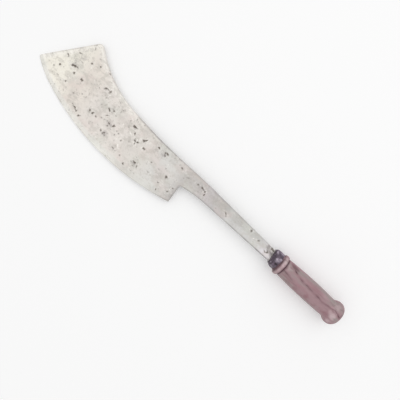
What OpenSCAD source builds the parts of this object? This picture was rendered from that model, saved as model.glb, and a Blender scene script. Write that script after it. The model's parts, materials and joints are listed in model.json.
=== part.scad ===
// Long-necked billhook with a broad chopping blade, a flat neck and a short turned handle.
// Each piece is drawn in the tool's own frame: X runs along the handle axis towards the nose
// from the shoulder that the collar seats on, Y points to the cutting edge, Z is up.
// lay() then sets the tool down the way it rests on a flat floor, edge side lower.

/* [Blade] */
// Distance from the handle shoulder to the heel, measured on the handle axis
heel_x = 198; // [185:1:215]
// Lean of the heel face towards the handle, in degrees
heel_lean = 7; // [0:1:15]
// Distance from the handle shoulder to the deepest point of the belly
belly_x = 310; // [295:5:330]
// Depth of the belly below the handle axis
belly_y = 63; // [50:1:75]
// Radius of the cutting edge along the belly
edge_r = 447; // [380:1:520]
// Turn of the edge before it tightens towards the nose, in degrees
edge_turn = 20; // [16:1:23]
// Radius of the cutting edge near the nose
nose_edge_r = 176; // [140:1:220]
// Distance from the handle shoulder to the nose, measured on the handle axis
nose_x = 495; // [475:1:515]
// Slant of the nose from square, in degrees
nose_slant = 39; // [30:1:45]
// Radius of the nose corner on the cutting edge
tip_round = 2.4; // [1:0.2:5]
// Radius of the nose corner on the spine
peak_round = 7; // [3:0.5:12]

/* [Spine] */
// Offset of the straight back from the handle axis
back_y = 16.4; // [14:0.2:20]
// Distance from the handle shoulder to the start of the upswept spine
spine_x = 216; // [200:2:230]
// Radius of the slow part of the upsweep
slow_r = 964; // [800:4:1200]
// Turn of the slow part of the upsweep, in degrees
slow_turn = 7; // [4:0.5:9]
// Radius of the tight part of the upsweep
tight_r = 200; // [160:2:250]

/* [Thickness] */
// Thickness of the neck
root_t = 6.5; // [5.5:0.1:8]
// Distance from the handle shoulder to where the neck starts to thin
thin_x = 130; // [110:5:160]
// Thickness of the forging at the nose
nose_t = 3; // [2:0.1:4.5]
// Width of the ground bevel at the belly
bevel_w = 10; // [6:0.5:16]
// Thickness left along the cutting edge
edge_t = 0.8; // [0.4:0.1:1.5]

/* [Neck] */
// Offset of the neck's back from the handle axis at the collar
neck_back = 10.5; // [8:0.1:12]
// Offset of the neck's lower side from the handle axis at the collar
neck_front = 9.1; // [8:0.1:12]
// Distance from the handle shoulder to the end of the neck's taper on the back
taper_x = 160; // [120:2:180]
// Distance from the handle shoulder to the sweep under the heel
sweep_x = 146; // [130:1:160]
// Offset of the neck's lower side from the handle axis at the sweep
sweep_y = 10.1; // [9:0.1:13]
// Radius of the sweep under the heel
sweep_r = 220; // [180:2:300]
// Radius in the notch between the sweep and the heel
notch_round = 3.5; // [2:0.5:6]

/* [Tang] */
// Width of the tang at the neck's shoulder
tang_w = 12; // [9:0.5:15]
// Width of the tang at the butt
tang_end_w = 7; // [6.5:0.5:9]
// Thickness of the tang
tang_t = 5.5; // [4.5:0.1:5.5]
// Gap between the tang and its burnt-in slot
tang_gap = 0.2; // [0.1:0.05:0.4]
// Diameter of the round tenon that passes through the washer
tenon_d = 5.4; // [4:0.1:5.5]
// Diameter of the peened head on the tenon
peen_d = 9.5; // [8:0.1:11]
// Height of the peened head
peen_h = 1.6; // [1:0.1:2.5]

/* [Collar] */
// Width of the collar across its flats
collar_w = 26.4; // [26:0.1:28]
// Length of the collar
collar_l = 14.5; // [14:0.5:18]
// Turn of the collar's flats about the handle axis, in degrees
collar_turn = 12; // [0:1:30]
// Offset of the collar's outside from its bore towards the spine
collar_off = 0.7; // [0:0.1:1]
// Skew of the collar's front face, in degrees, with the spine side standing forward
collar_skew = 8; // [0:1:10]
// Diameter of the collar's front face
front_d = 23; // [22.6:0.1:24.4]
// Slope of the chamfer behind the front face, in degrees from square
chamfer_a = 54; // [37:1:62]
// Gap between the neck and the hole punched for it
punch_gap = 0.3; // [0.2:0.05:0.6]
// Gap between the spigot and the collar's bore
bore_gap = 0.15; // [0.1:0.05:0.3]
// Gap between the spigot's end and the collar's front wall
end_gap = 0.3; // [0.2:0.05:0.5]

/* [Collar nail] */
// Diameter of the nail's shank
nail_d = 2.2; // [1.6:0.1:2.8]
// Diameter of the nail's head
nail_head_d = 3.4; // [3:0.1:4]
// Height of the nail's head
nail_head_h = 0.8; // [0.5:0.1:1]
// Length of the nail with its head
nail_l = 7; // [5:0.5:7.5]
// Depth of the nail's head below the flat
nail_sink = 0.3; // [0.1:0.05:0.5]
// Distance of the nail from the handle shoulder
nail_x = 4; // [3:0.5:7]
// Offset of the nail from the middle of the flat
nail_side = 2.5; // [0:0.5:3.5]
// Gap around the nail in its hole
nail_gap = 0.1; // [0.05:0.05:0.2]

/* [Handle] */
// Diameter of the spigot inside the collar
spigot_d = 23; // [22:0.1:24]
// Length of the spigot
spigot_l = 9.5; // [8:0.5:11]
// Distance from the shoulder that the collar seats on to the front of the bead
bead_x = 1.5; // [1:0.1:2]
// Diameter of the bead
bead_d = 35.5; // [34:0.1:38]
// Length of the bead
bead_l = 8.2; // [7:0.1:10]
// Radius of the bead's rounded corners
bead_round = 3.5; // [2:0.1:3.5]
// Width of the groove between the bead and the grip
groove_w = 1; // [0.6:0.1:1.6]
// Diameter of the grip at its fullest
grip_d = 33.8; // [32:0.2:36]
// Distance from the shoulder to the fullest part of the grip
grip_x = 63; // [56:1:70]
// Radius of the grip's lengthwise curve
grip_r = 770; // [600:10:1000]
// Radius of the neck between the grip and the bulb
hollow_r = 8; // [6:0.5:12]
// Diameter of the bulb
bulb_d = 39.8; // [38:0.1:44]
// Radius of the bulb's rounded rim
rim_r = 11; // [9.7:0.1:11.7]
// Width of the straight land around the bulb
bulb_land = 1; // [0.6:0.1:3]
// Length of the handle from the shoulder to the crown of the butt
handle_l = 127.5; // [122:0.5:140]
// Distance from the land to the crown of the butt
crown_l = 12.6; // [12.2:0.1:14.2]

/* [Butt washer] */
// Diameter of the washer
washer_d = 15; // [12:0.5:18]
// Thickness of the washer
washer_t = 1.5; // [1:0.1:2.5]
// Gap around the washer in its seat
washer_gap = 0.15; // [0.1:0.05:0.3]
// Gap between the tenon and the washer's hole
tenon_gap = 0.15; // [0.1:0.05:0.3]

/* [Resting] */
// Direction of the blade's lowest point as seen from the centre of the nose arc, in degrees
rest_dir = 57; // [56:1:64]

/* [Hidden] */
$fn = 96;
// How far cutting blocks reach past what they cut
reach = 20;
// How far the blank stands past the finished edge before it is ground
proud = 3;
// Steps in a long arc and in a small corner that are drawn as points
long_steps = 24;
corner_steps = 8;

// Points on an arc from angle a0 to a1
function arc(centre, r, a0, a1, steps = long_steps) =
    [for (i = [0:steps]) let (a = a0 + (a1 - a0) * i / steps) centre + r * [cos(a), sin(a)]];
// Unit vector at an angle, and the angle of a vector
function dir(a) = [cos(a), sin(a)];
function angle(v) = atan2(v.y, v.x);
// Point where the line through p at angle a leaves (way 1) or enters (way -1) a circle
function crossing(p, a, centre, r, way) =
    let (w = centre - p, m = w * dir(a)) p + (m + way * sqrt(r * r - w * w + m * m)) * dir(a);

// Cutting edge: two arcs that share a tangent at edge_turn
belly_c = [belly_x, belly_y - edge_r];
nose_edge_c = belly_c + (edge_r - nose_edge_r) * dir(90 - edge_turn);
// Spine: two arcs that share a tangent at slow_turn
slow_c = [spine_x, -back_y - slow_r];
tight_c = slow_c + (slow_r - tight_r) * dir(90 - slow_turn);
// Nose and heel: straight lines crossing the handle axis
nose_a = 90 - nose_slant;
heel_a = 90 + heel_lean;
// Centres of the rounded corners at the nose, and of the notch at the heel
peak_c = crossing([nose_x, 0] + peak_round * dir(nose_a + 90), nose_a, tight_c, tight_r + peak_round, 1);
tip_c = crossing([nose_x, 0] + tip_round * dir(nose_a + 90), nose_a, nose_edge_c, nose_edge_r - tip_round, 1);
neck_a = atan2(sweep_y - neck_front, sweep_x - spigot_l);
sweep_c = [sweep_x, sweep_y] + sweep_r * dir(neck_a + 90);
notch_c = crossing([heel_x, 0] + notch_round * dir(heel_a + 90), heel_a, sweep_c, sweep_r - notch_round, -1);
tip_a = angle(tip_c - nose_edge_c);
tip = tip_c + tip_round * dir(tip_a);
heel_out = crossing([heel_x, 0], heel_a, belly_c, edge_r + proud, 1);

// Thickness of the forging at any distance from the shoulder
function thickness(x) = root_t + (nose_t - root_t) * max(0, x - thin_x) / (nose_x - thin_x);
// Rise of the ground bevel per millimetre from the edge
grind = (thickness(belly_x) - edge_t) / 2 / bevel_w;

// Butt: crown arc tangent to the rim arc, washer let in flush with the crown at its rim
land_x = crown_l - handle_l;
rim_c = bulb_d / 2 - rim_r;
crown_r = (crown_l * crown_l + rim_c * rim_c - rim_r * rim_r) / 2 / (crown_l - rim_r);
crown_c = crown_r - handle_l;
washer_x = crown_c - sqrt(crown_r * crown_r - washer_d * washer_d / 4);
tang_end_x = washer_x + washer_t;

// Resting tilt: the bead and the bevel's shoulder near the nose both touch the floor
shoulder_r = nose_edge_r - (nose_t - edge_t) / 2 / grind;
bead_front = (bead_x + bead_round) * cos(rest_dir);
rest_span = nose_edge_c * dir(rest_dir) + shoulder_r + bead_front;
tilt = asin(bead_d / 2 / norm([rest_span, nose_t / 2])) - atan2(nose_t / 2, rest_span);
rest_h = bead_d / 2 - bead_front * sin(tilt);
// Middle of the tool's length and width
mid_x = (tip.x + washer_x - peen_h) / 2;
mid_y = (belly_y + peak_c.y - peak_round) / 2;

// Sets a piece down in the resting pose, with the origin on the floor under its middle
module lay() {
    translate([-mid_x, -mid_y, rest_h])
        rotate(a = tilt, v = [-sin(rest_dir), cos(rest_dir), 0])
            children();
}

// Turns a shape drawn upwards so that it points along the handle axis
module along() {
    rotate([0, 90, 0]) children();
}

// Plan of the forging from the tang's shoulder to the nose, before the edge is ground
module plan() {
    polygon(concat(
        [[spigot_l, -neck_back], [taper_x, -back_y]],
        arc(slow_c, slow_r, 90, 90 - slow_turn),
        arc(tight_c, tight_r, 90 - slow_turn, angle(peak_c - tight_c)),
        arc(peak_c, peak_round, angle(tight_c - peak_c), nose_a - 90, corner_steps),
        arc(tip_c, tip_round, nose_a - 90, tip_a, corner_steps),
        arc(nose_edge_c, nose_edge_r + proud, tip_a, 90 - edge_turn),
        arc(belly_c, edge_r + proud, 90 - edge_turn, angle(heel_out - belly_c)),
        arc(notch_c, notch_round, heel_a - 90, angle(notch_c - sweep_c), corner_steps),
        arc(sweep_c, sweep_r, angle(notch_c - sweep_c), neck_a - 90),
        [[spigot_l, neck_front]]
    ));
}

// Flat bar that thins to a long wedge between the two cheeks
module cheeks() {
    far = tip.x + reach;
    width = 4 * max(belly_y, tip.x - spine_x);
    rotate([90, 0, 0])
        linear_extrude(height = width, center = true)
            polygon([
                [spigot_l, -root_t / 2], [thin_x, -root_t / 2], [far, -thickness(far) / 2],
                [far, thickness(far) / 2], [thin_x, root_t / 2], [spigot_l, root_t / 2]
            ]);
}

// Disc whose rim carries the ground bevels of one arc of the edge
module ground_disc(r) {
    run = 2 * bevel_w;
    top = edge_t / 2 + grind * run;
    rotate_extrude($fn = 720)
        polygon([[0, -top], [r - run, -top], [r, -edge_t / 2], [r, edge_t / 2], [r - run, top], [0, top]]);
}

// What the grindstone takes off on one side of the line where the two edge arcs meet
module grinding(centre, r, side) {
    length = tip.x - heel_x + 4 * reach;
    difference() {
        intersection() {
            translate([heel_x - reach, 0, -root_t])
                cube([length, belly_y + reach, 2 * root_t]);
            translate([belly_c.x, belly_c.y, 0])
                rotate(-edge_turn)
                    translate([side > 0 ? 0 : -length, 0, -root_t])
                        cube([length, edge_r + reach, 2 * root_t]);
        }
        translate([centre.x, centre.y, 0]) ground_disc(r);
    }
}

// Tapered tang, rooted in the neck, or the slot burnt for it when gap is given
module tang(gap = 0) {
    root_x = spigot_l + reach;
    end_x = tang_end_x - gap;
    half = tang_w / 2 + gap;
    end_half = tang_end_w / 2 + gap;
    linear_extrude(height = tang_t + 2 * gap, center = true)
        polygon([
            [root_x, -half], [root_x, half], [spigot_l, half],
            [end_x, end_half], [end_x, -end_half], [spigot_l, -half]
        ]);
}

// Low rounded rivet head on the end of the tenon
module peen() {
    r = (peen_d * peen_d / 4 + peen_h * peen_h) / 2 / peen_h;
    translate([washer_x, 0, 0])
        rotate([0, -90, 0])
            rotate_extrude()
                polygon(concat([[0, 0]], arc([0, peen_h - r], r, asin((r - peen_h) / r), 90, corner_steps)));
}

// One forging: ground blade, flat neck, tang and peened tenon
module blade() {
    color([0.86, 0.85, 0.82]) lay() union() {
        difference() {
            intersection() {
                linear_extrude(height = 2 * root_t, center = true) plan();
                cheeks();
            }
            grinding(belly_c, edge_r, -1);
            grinding(nose_edge_c, nose_edge_r, 1);
        }
        tang();
        translate([washer_x, 0, 0]) along() cylinder(d = tenon_d, h = 2 * washer_t);
        peen();
    }
}

// Turns and shifts a shape the way the collar's outside sits on the handle axis
module on_collar() {
    translate([0, -collar_off, 0]) rotate([-collar_turn, 0, 0]) children();
}

// Places a shape on the collar's nailed flat, drawn as if drilled down from its surface
module on_nailed_flat() {
    on_collar() translate([nail_x, nail_side, collar_w / 2]) children();
}

// Nail or the hole for it, from the sunk head down into the spigot
module nail_shape(gap = 0, open = 0) {
    translate([0, 0, -nail_l - nail_sink]) cylinder(d = nail_d + 2 * gap, h = nail_l, $fn = 32);
    translate([0, 0, -nail_head_h - nail_sink])
        cylinder(d = nail_head_d + 2 * gap, h = nail_head_h + open, $fn = 32);
}

// Hexagonal collar with a skewed, chamfered front and a hole punched for the neck
module collar() {
    corner_r = collar_w / 2 / cos(30);
    run = (corner_r + reach - front_d / 2) / tan(90 - chamfer_a);
    color([0.43, 0.37, 0.43]) lay() difference() {
        intersection() {
            on_collar() along() rotate(30)
                cylinder(r = corner_r, h = collar_l + reach, $fn = 6);
            translate([collar_l, -collar_off, 0])
                rotate(collar_skew)
                    along()
                        translate([0, 0, -collar_l - reach])
                            rotate_extrude()
                                polygon([
                                    [0, 0], [corner_r + reach, 0], [corner_r + reach, collar_l + reach - run],
                                    [front_d / 2, collar_l + reach], [0, collar_l + reach]
                                ]);
        }
        translate([-reach, 0, 0]) along()
            cylinder(d = spigot_d + 2 * bore_gap, h = spigot_l + end_gap + reach);
        translate([spigot_l - punch_gap, -neck_back - punch_gap, -root_t / 2 - punch_gap])
            cube([2 * reach, neck_back + neck_front + 2 * punch_gap, root_t + 2 * punch_gap]);
        on_nailed_flat() nail_shape(nail_gap, reach);
    }
}

// Small nail that pins the collar to the spigot
module collar_nail() {
    color([0.2, 0.17, 0.17]) lay() on_nailed_flat() nail_shape();
}

// Turned profile of the handle: spigot, bead, grip, hollow, bulb and crown
module handle_profile() {
    bead_in = bead_d / 2 - bead_round;
    bead_end = bead_x + bead_l;
    grip_c = [grip_d / 2 - grip_r, -grip_x];
    grip_start = asin((grip_x - bead_end - groove_w) / grip_r);
    front_c = [rim_c, land_x + bulb_land];
    // Centre of the hollow, tangent to the grip's curve and to the front of the bulb
    span = front_c - grip_c;
    from_grip = grip_r + hollow_r;
    from_bulb = rim_r + hollow_r;
    between = norm(span);
    bend = acos((from_grip * from_grip + between * between - from_bulb * from_bulb) / 2 / from_grip / between);
    hollow_a = angle(span) + bend;
    hollow_c = grip_c + from_grip * dir(hollow_a);
    crown_a = angle([rim_c, land_x - crown_c]);
    polygon(concat(
        [[0, spigot_l], [spigot_d / 2, spigot_l], [spigot_d / 2, 0], [bead_in, 0]],
        arc([bead_in, -bead_x - bead_round], bead_round, 90, 0, corner_steps),
        arc([bead_in, bead_round - bead_end], bead_round, 0, -90, corner_steps),
        arc(grip_c, grip_r, grip_start, hollow_a),
        arc(hollow_c, hollow_r, hollow_a - 180, angle(front_c - hollow_c), corner_steps),
        arc(front_c, rim_r, angle(hollow_c - front_c), 0, corner_steps),
        arc([rim_c, land_x], rim_r, 0, crown_a, 2 * corner_steps),
        arc([0, crown_c], crown_r, crown_a, -90, 2 * corner_steps)
    ));
}

// Turned wooden handle with the burnt tang slot and a seat for the washer
module handle() {
    color([0.62, 0.5, 0.52]) lay() difference() {
        along() rotate_extrude() handle_profile();
        tang(tang_gap);
        translate([tang_end_x - reach, 0, 0]) along() cylinder(d = washer_d + 2 * washer_gap, h = reach);
        on_nailed_flat() nail_shape(nail_gap);
    }
}

// Round iron washer under the peened tenon
module butt_washer() {
    color([0.3, 0.26, 0.26]) lay() difference() {
        translate([washer_x, 0, 0]) along() cylinder(d = washer_d, h = washer_t);
        translate([washer_x - reach, 0, 0]) along()
            cylinder(d = tenon_d + 2 * tenon_gap, h = 2 * reach, $fn = 48);
    }
}

blade();
collar();
collar_nail();
handle();
butt_washer();
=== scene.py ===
import json
import random
from math import cos, pi, radians, sin

import bmesh
import bpy
import numpy as np
from mathutils import Matrix, Vector, kdtree, noise


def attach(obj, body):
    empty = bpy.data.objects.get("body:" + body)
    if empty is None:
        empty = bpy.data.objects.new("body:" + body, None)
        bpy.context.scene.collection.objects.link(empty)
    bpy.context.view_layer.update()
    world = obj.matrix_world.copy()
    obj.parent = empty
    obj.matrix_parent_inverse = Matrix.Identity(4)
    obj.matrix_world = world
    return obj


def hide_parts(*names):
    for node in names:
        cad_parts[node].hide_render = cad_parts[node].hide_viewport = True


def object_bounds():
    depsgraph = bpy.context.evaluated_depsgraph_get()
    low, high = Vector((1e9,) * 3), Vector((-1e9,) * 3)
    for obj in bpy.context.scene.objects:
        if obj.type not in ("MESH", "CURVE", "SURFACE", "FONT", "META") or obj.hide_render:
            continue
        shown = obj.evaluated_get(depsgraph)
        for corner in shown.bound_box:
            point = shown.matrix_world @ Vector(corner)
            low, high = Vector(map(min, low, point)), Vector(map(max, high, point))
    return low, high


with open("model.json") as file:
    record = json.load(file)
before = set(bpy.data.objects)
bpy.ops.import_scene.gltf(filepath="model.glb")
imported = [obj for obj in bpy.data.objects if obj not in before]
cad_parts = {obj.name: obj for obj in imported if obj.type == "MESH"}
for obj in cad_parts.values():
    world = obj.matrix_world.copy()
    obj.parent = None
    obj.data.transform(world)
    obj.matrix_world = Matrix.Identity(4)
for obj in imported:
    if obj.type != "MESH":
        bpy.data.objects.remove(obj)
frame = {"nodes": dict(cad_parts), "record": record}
cad_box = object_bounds()
MM = 0.001

# The tool's own axes in the row: X along the handle axis to the nose, Y to the cutting edge, Z up,
# from the shoulder that the collar seats on. They follow from the two mounts in the record.
MOUNTS = {mount["name"]: mount for mount in frame["record"]["mounts"]}
GRIP_FROM_SHOULDER = 63 * MM
lengthwise = Vector(MOUNTS["grip"]["axis"]).normalized()
cheek_normal = Vector(MOUNTS["cheek"]["axis"])
upward = (cheek_normal - cheek_normal.dot(lengthwise) * lengthwise).normalized()
edgeward = upward.cross(lengthwise)
tool = Matrix((lengthwise, edgeward, upward)).transposed().to_4x4()
tool.translation = Vector(MOUNTS["grip"]["pos_m"]) + GRIP_FROM_SHOULDER * lengthwise

# Camera: straight above the tool, a little to the blade's side of its middle, about an arm's length up.
CAMERA_PLACE = (-0.0312, 0.0127, 0.624)
CAMERA_TURN = radians(222.47)
CAMERA_LENS = 34.76
SENSOR_WIDTH = 36
camera_data = bpy.data.cameras.new("camera")
camera_data.sensor_width = SENSOR_WIDTH
camera_data.lens = CAMERA_LENS
camera = bpy.data.objects.new("camera", camera_data)
camera.matrix_world = Matrix.Translation(CAMERA_PLACE) @ Matrix.Rotation(CAMERA_TURN, 4, "Z")
bpy.context.scene.collection.objects.link(camera)
bpy.context.scene.camera = camera
bpy.context.scene.view_settings.view_transform = "Standard"


# Floor, sky and lamps: a plain white sweep under an even white sky, which the camera and the metal both
# see, and two large softboxes overhead. The first stands on the spine's side.
FLOOR_SIZE = 8
FLOOR_WHITE = 0.92
FLOOR_LIFT = 0.15
SKY_LIGHT = 0.68


def add(tree, kind, inputs=(), **settings):
    """Adds a shader node, with its options set and its inputs filled or linked."""
    made = tree.nodes.new("ShaderNode" + kind)
    for name, value in settings.items():
        setattr(made, name, value)
    for name, value in dict(inputs).items():
        if isinstance(value, bpy.types.NodeSocket):
            tree.links.new(value, made.inputs[name])
        else:
            made.inputs[name].default_value = value
    return made


def new_material(name):
    """A material with an empty tree."""
    material = bpy.data.materials.new(name)
    material.use_nodes = True
    material.node_tree.nodes.clear()
    return material, material.node_tree


def seen_rays(tree):
    """1 where the camera, a reflection or a refraction looks, 0 where light only bounces."""
    ray = add(tree, "LightPath")
    looking = {0: ray.outputs["Is Camera Ray"], 1: ray.outputs["Is Glossy Ray"]}
    seen = add(tree, "Math", looking, operation="MAXIMUM").outputs[0]
    return add(tree, "Math", {0: seen, 1: ray.outputs["Is Transmission Ray"]}, operation="MAXIMUM").outputs[0]


floor_material, tree = new_material("white floor")
paper = add(tree, "BsdfDiffuse", {"Color": (FLOOR_WHITE, FLOOR_WHITE, FLOOR_WHITE, 1)})
lift = add(tree, "Emission", {"Color": (1, 1, 1, 1), "Strength": FLOOR_LIFT})
brightened = add(tree, "AddShader", {0: paper.outputs[0], 1: lift.outputs[0]})
sweep = add(tree, "MixShader", {0: seen_rays(tree), 1: paper.outputs[0], 2: brightened.outputs[0]})
add(tree, "OutputMaterial", {"Surface": sweep.outputs[0]})
bm = bmesh.new()
bmesh.ops.create_grid(bm, x_segments=1, y_segments=1, size=FLOOR_SIZE / 2)
bmesh.ops.translate(bm, verts=bm.verts, vec=(0, 0, cad_box[0].z))
floor_mesh = bpy.data.meshes.new("floor")
bm.to_mesh(floor_mesh)
bm.free()
floor_mesh.materials.append(floor_material)
floor = bpy.data.objects.new("floor", floor_mesh)
bpy.context.scene.collection.objects.link(floor)

sky = bpy.data.worlds.new("sky")
bpy.context.scene.world = sky
sky.use_nodes = True
tree = sky.node_tree
tree.nodes.clear()
strength = add(tree, "MapRange", {"Value": seen_rays(tree), "To Min": SKY_LIGHT, "To Max": 1.0})
light = add(tree, "Background", {"Color": (1, 1, 1, 1), "Strength": strength.outputs[0]})
add(tree, "OutputWorld", {"Surface": light.outputs[0]})


def soft_lamp(name, place, size, power):
    """A square softbox that faces the tool."""
    data = bpy.data.lights.new(name, "AREA")
    data.size = size
    data.energy = power
    lamp = bpy.data.objects.new(name, data)
    lamp.matrix_world = Matrix.Translation(place) @ Vector(place).to_track_quat("Z", "Y").to_matrix().to_4x4()
    bpy.context.scene.collection.objects.link(lamp)


soft_lamp("softbox", place=(-0.5, -1.2, 2.2), size=2.4, power=13)
soft_lamp("fill", place=(0.7, 0.9, 2.4), size=2.4, power=6)


# Blade: one forging of pale scoured steel, with the neck, the tang and the peened tenon drawn from the
# same bar. The edge is ground from both cheeks. Old rust has left pits, each in a greyish bloom.
MERGE_REACH = 0.001 * MM
FLAT_TURN = radians(0.2)
CREASE_TURN = radians(35)
ARRIS_WEAR = 0.35 * MM
CELL = 4 * MM
LONGEST_EDGE = 0.55 * CELL
CELL_CUTS = 3
# The forging is worn from here on, just inside the collar's front, and the wear sets in over the run-in
NECK_FROM = 11 * MM
RUN_IN = 30 * MM
PIT_DEPTH = 0.4 * MM
# The outline's wobble and the hammering, each with its cells a metre
OUTLINE_WOBBLE, WOBBLE_CELLS = 0.2 * MM, 38
HAMMERING, HAMMER_CELLS = 0.12 * MM, 55
HAMMER_SHIFT = Vector((7, 3, 1))
SCRATCH_SHARE = 0.15
# Each pit on the upper cheek: place along and across the tool, length and width in mm, turn in degrees
# and strength
UPPER_PITS = (
    (453, -10.7, 4, 3, 12, 0.8), (449.5, -12, 10, 3, 12, 1.0), (443, -12.5, 5, 2, 0, 0.5),
    (442.7, -2.7, 4, 3.2, 0, 0.85), (425.3, -3.1, 4.6, 3.6, 0, 1.0), (469, 2.1, 3.5, 3.5, 0, 0.8),
    (444.7, 15.7, 5.2, 2.6, 35, 0.75), (470, -19, 6, 2.4, 170, 0.6), (467.5, -17, 3, 2.4, 90, 0.6),
    (444.5, -24.4, 4, 2.5, 0, 0.45), (456.5, -33, 5, 3, 20, 0.55), (454.3, -41, 3, 2.5, 0, 0.4),
    (442, -54.7, 5.5, 2.2, 105, 0.75), (444.4, -60, 3, 3, 0, 0.4), (430.7, -33.3, 3, 4, 0, 0.7),
    (432.5, -36.5, 3, 2, 0, 0.45), (416.5, -38.5, 3, 3, 0, 0.5), (493, 2.7, 3.5, 3, 0, 0.35),
    (486.3, 10.4, 3, 2.5, 0, 0.4), (458.7, 10.4, 3, 1.6, 30, 0.35), (460.3, 16.4, 4, 2.5, 0, 0.4),
    (438, 28.8, 5, 2.4, 130, 0.45), (422, 21.2, 5, 3, 20, 0.55), (415.5, 19.3, 5, 1.8, 10, 0.4),
    (387, -18.8, 6, 3.6, 30, 0.8), (378, -19.2, 4.6, 4.8, 0, 0.75), (402.3, -14.3, 4, 2, 0, 0.4),
    (396, -12.6, 4, 2, 150, 0.4), (407.5, -9.7, 7, 4, 0, 0.3), (401.2, 6.3, 3, 2.5, 0, 0.5),
    (402, 12, 2.4, 4, 0, 0.45), (383.4, 23.9, 3.5, 4.6, 10, 1.0), (377, 24.3, 4.6, 3, 65, 0.9),
    (370, 24.9, 4.2, 2.4, 0, 0.7), (393.7, 24.3, 4, 3, 0, 0.35), (411.7, 35, 4, 2.4, 170, 0.65),
    (405, 36.8, 6, 2.4, 170, 0.75), (400.3, 39.4, 5, 2.4, 150, 0.65), (392, 42.7, 4, 3, 30, 0.85),
    (337.7, 17.3, 3.6, 5, 0, 1.0), (346.5, 19, 7, 2.5, 160, 0.55), (345, 23.5, 7, 2.5, 10, 0.5),
    (338.5, 24, 5, 2.6, 10, 0.55), (348.6, 35.4, 4, 3.8, 0, 0.8), (342, 35.5, 6, 2.6, 60, 0.75),
    (340, 38, 4, 2, 20, 0.6), (337.7, 33.7, 2.5, 4, 0, 0.45), (349.3, 44.6, 4, 2.4, 30, 0.4),
    (361.5, 1.6, 4, 2.6, 150, 0.8), (358.6, 3, 3.4, 3, 0, 0.9), (352.6, -1.3, 4, 2.5, 20, 0.75),
    (356, -2.3, 3, 2, 0, 0.45), (355.7, 3, 3, 2, 0, 0.45), (357.2, 11.6, 7.5, 1.6, 37, 0.65),
    (354.3, 18, 5, 2, 40, 0.5), (343.4, -11.7, 6, 3, 0, 0.5), (343, -7, 3, 2.4, 0, 0.35),
    (351.7, -12, 3, 2.4, 0, 0.45), (369, -1.6, 3, 3, 0, 0.3), (372.3, 7.7, 4.4, 2, 50, 0.4),
    (374.5, 3.5, 3, 2, 0, 0.3), (383, 7.7, 4, 1.6, 120, 0.3), (406.7, 50, 3, 2, 0, 0.35),
    (311.6, -4.5, 7.5, 3, 3, 1.0), (303.7, 3.5, 6, 2.4, 117, 0.65), (296.3, 11.2, 4, 4, 0, 1.0),
    (294.3, 14.7, 4, 2.4, 120, 0.85), (291.5, 10.4, 5, 2.6, 31, 0.8), (285, 1.6, 6, 4, 30, 1.0),
    (282.4, -2, 4.4, 2.4, 50, 0.85), (277.5, 11.2, 3.6, 3.6, 0, 1.0), (259.6, -6.5, 3.6, 3, 0, 1.0),
    (246.9, -7, 4, 5, 0, 0.6), (245.2, -3.5, 3, 2.4, 0, 0.5), (313.7, 25.9, 3.6, 3, 0, 0.7),
    (328.4, 19.7, 3, 2.4, 0, 0.6), (315.6, 43.5, 9, 2.4, 175, 0.45), (299.4, 44.4, 4, 2.4, 0, 0.5),
    (286.2, 51.2, 4, 4, 0, 0.55), (270, 51, 17, 2, 0, 0.4), (274, 37.1, 6, 2.8, 0, 0.85),
    (276.5, 39.6, 3, 2.4, 0, 0.6), (267.6, 38.8, 5, 2.4, 110, 0.75), (272.5, 43, 3.4, 2.2, 0, 0.65),
    (278.7, 40, 3, 3, 0, 0.4), (253.7, 18.7, 3, 2.4, 0, 0.5), (267.5, 16, 2.5, 2.5, 0, 0.35),
    (247.6, 33.6, 6, 2.2, 0, 0.5), (240.6, 34.6, 4, 2, 0, 0.4), (241.9, -7.5, 3.6, 3.6, 0, 1.0),
    (220.2, 20.2, 5.5, 4, 0, 1.0), (220, 46, 2.2, 4.6, 0, 0.95), (221.9, 41.2, 2.5, 3, 0, 0.4),
    (224.6, 35.4, 4, 3, 0, 0.55), (204, 35.9, 4.6, 3.2, 30, 0.7), (200.6, 26.6, 3, 3, 0, 0.65),
    (197.9, 30, 2.5, 3, 0, 0.5), (212.5, 31.9, 3, 2.4, 0, 0.3), (230, 10.4, 3, 2.4, 0, 0.4),
    (205.6, 13.5, 2.4, 4, 0, 0.4), (216.9, -8.1, 3, 5, 0, 0.4), (210.2, -6.9, 6, 3.4, 0, 0.5),
    (198.7, 3, 4, 2, 0, 0.4), (193, -2.6, 8, 3, 35, 0.4), (174.4, -5.2, 5, 3, 0, 0.6),
    (166.3, -5.6, 5, 3, 0, 1.0), (162.3, -4.4, 3.6, 2, 0, 0.75), (159.4, -3.7, 3, 3, 0, 0.95),
    (157.2, 0.6, 2.5, 4.6, 0, 1.0), (166.9, 3.7, 3, 2.6, 0, 0.4), (172, 0, 3, 2, 0, 0.3),
    (111.7, -0.4, 6, 2.4, 143, 0.65), (129.4, 4, 3, 2, 0, 0.45), (94.8, -7.7, 5, 3, 0, 0.3),
    (63.7, -7.7, 3, 3.6, 0, 0.65), (45.6, -4.3, 4.4, 2.4, 30, 0.6), (51, 3, 3, 2, 0, 0.3),
    (28.2, 2, 5, 1.6, 153, 0.65), (24.6, 1.4, 5, 1.6, 37, 0.65), (24, -1.6, 4, 1.6, 131, 0.5),
    (27.5, -5, 6, 2, 137, 0.5), (19, -8.2, 8, 2.8, 0, 1.0), (14.5, -8.6, 4, 3, 0, 0.9),
)
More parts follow.
